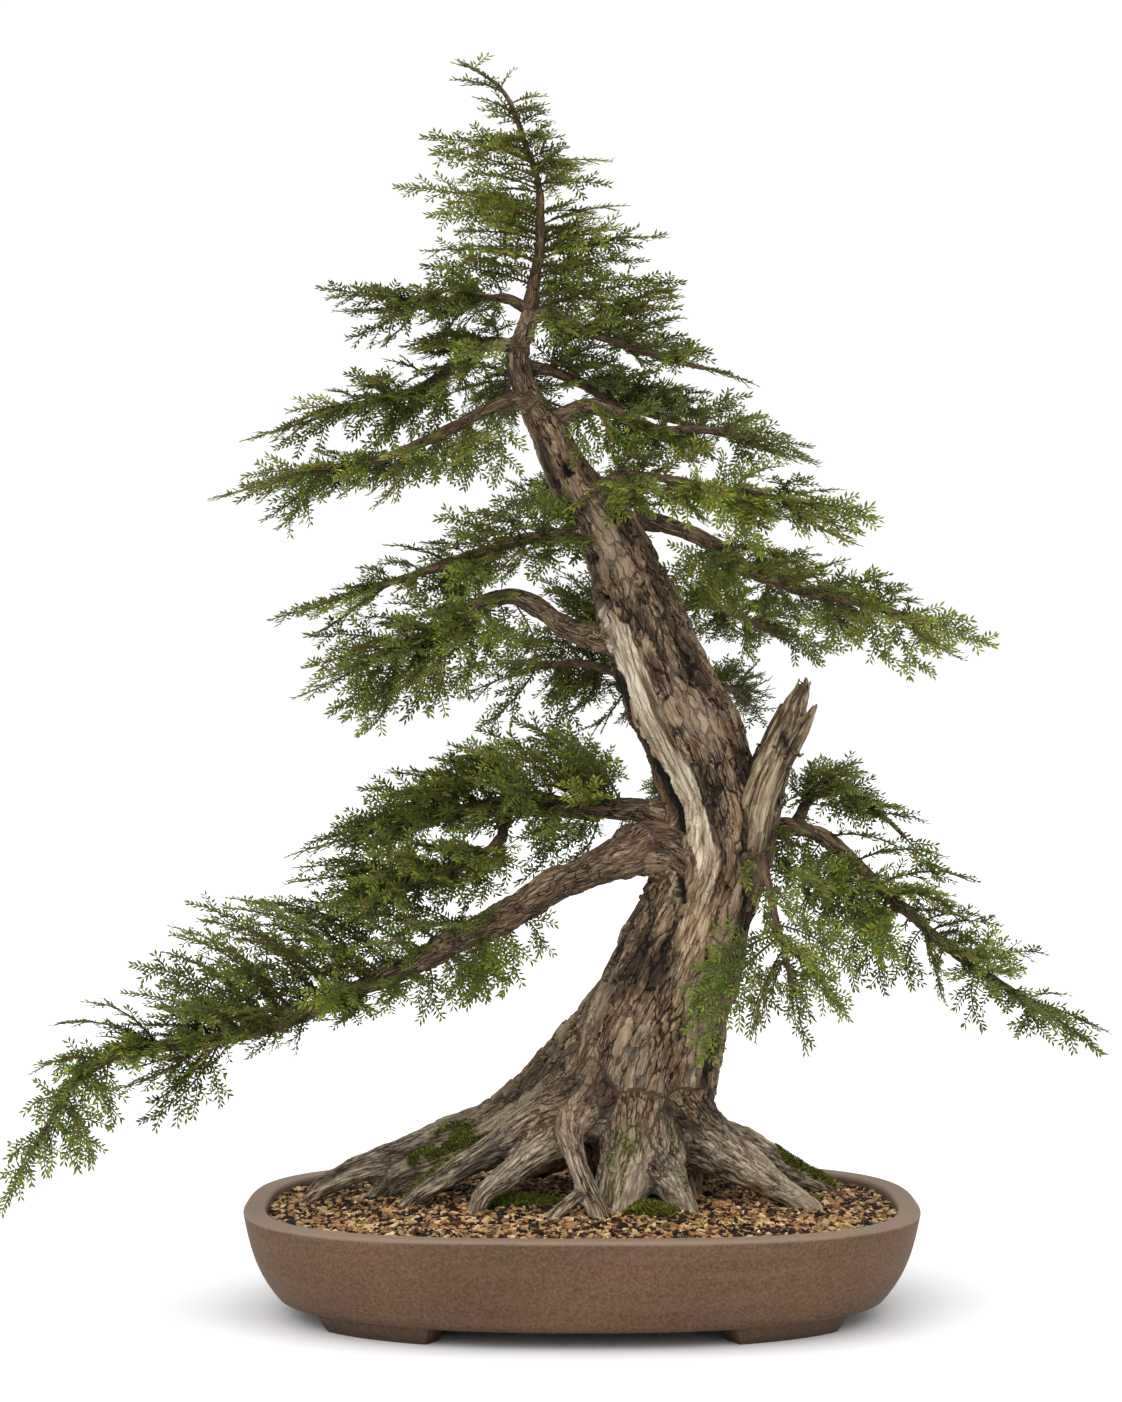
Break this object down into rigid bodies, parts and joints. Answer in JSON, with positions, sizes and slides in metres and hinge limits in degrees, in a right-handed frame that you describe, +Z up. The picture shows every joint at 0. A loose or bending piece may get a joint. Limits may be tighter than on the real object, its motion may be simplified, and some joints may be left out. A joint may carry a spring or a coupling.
{
  "type": "bonsai tree in a pot",
  "caption": "Conifer bonsai with a leaning trunk, a bleached strip of deadwood, drooping foliage pads and spreading roots, in a shallow oval clay pot.",
  "frame": {"origin": "on the surface the pot stands on, below the middle of the whole tree's width and depth", "axes": "+Z up, along the tree's height; +X to the viewer's right along the pot's long side; -Y towards the viewer at the tree's front"},
  "size_m": [0.8529, 0.4017, 0.972],
  "materials": {
    "pot_clay": "unglazed, matte",
    "soil_mix": "loose bark and clay granules",
    "trunk_bark": "rough plated bark with a bleached strip",
    "branch_bark": "rough bark",
    "needles": "soft flat needles, satin",
    "moss": "matte",
    "screen_plastic": "moulded mesh",
    "aluminium_wire": "bronze anodised, satin"
  },
  "bodies": {
    "root": {"anchor_wire": "aluminium_wire", "branch_back_left": "branch_bark", "branch_back_low": "branch_bark", "branch_back_top": "branch_bark", "branch_back_upper": "branch_bark", "branch_left_long": "branch_bark", "branch_left_long_tip": "branch_bark", "branch_left_lower_front": "branch_bark", "branch_left_middle": "branch_bark", "branch_left_middle_upper": "branch_bark", "branch_left_shelf": "branch_bark", "branch_left_top": "branch_bark", "branch_left_upper": "branch_bark", "branch_left_upper_low": "branch_bark", "branch_right_back": "branch_bark", "branch_right_back_low": "branch_bark", "branch_right_front": "branch_bark", "branch_right_long": "branch_bark", "branch_right_low": "branch_bark", "branch_right_low_front": "branch_bark", "branch_right_low_upper": "branch_bark", "branch_right_middle": "branch_bark", "branch_right_top": "branch_bark", "branch_right_upper": "branch_bark", "drainage_screen_left": "screen_plastic", "drainage_screen_right": "screen_plastic", "foliage_apex_low": "needles", "foliage_apex_top": "needles", "foliage_back_left": "needles", "foliage_back_low": "needles", "foliage_back_top": "needles", "foliage_back_upper": "needles", "foliage_left_long": "needles", "foliage_left_long_tip": "needles", "foliage_left_lower_front": "needles", "foliage_left_middle": "needles", "foliage_left_middle_upper": "needles", "foliage_left_shelf": "needles", "foliage_left_top": "needles", "foliage_left_upper": "needles", "foliage_left_upper_low": "needles", "foliage_right_back": "needles", "foliage_right_back_low": "needles", "foliage_right_front": "needles", "foliage_right_long": "needles", "foliage_right_low": "needles", "foliage_right_low_front": "needles", "foliage_right_low_upper": "needles", "foliage_right_middle": "needles", "foliage_right_top": "needles", "foliage_right_upper": "needles", "leader": "branch_bark", "moss_front_centre": "moss", "moss_front_left": "moss", "moss_right": "moss", "pot": "pot_clay", "screen_staple_left": "aluminium_wire", "screen_staple_right": "aluminium_wire", "soil": "soil_mix", "trunk": "trunk_bark"}
  },
  "joints": []
}
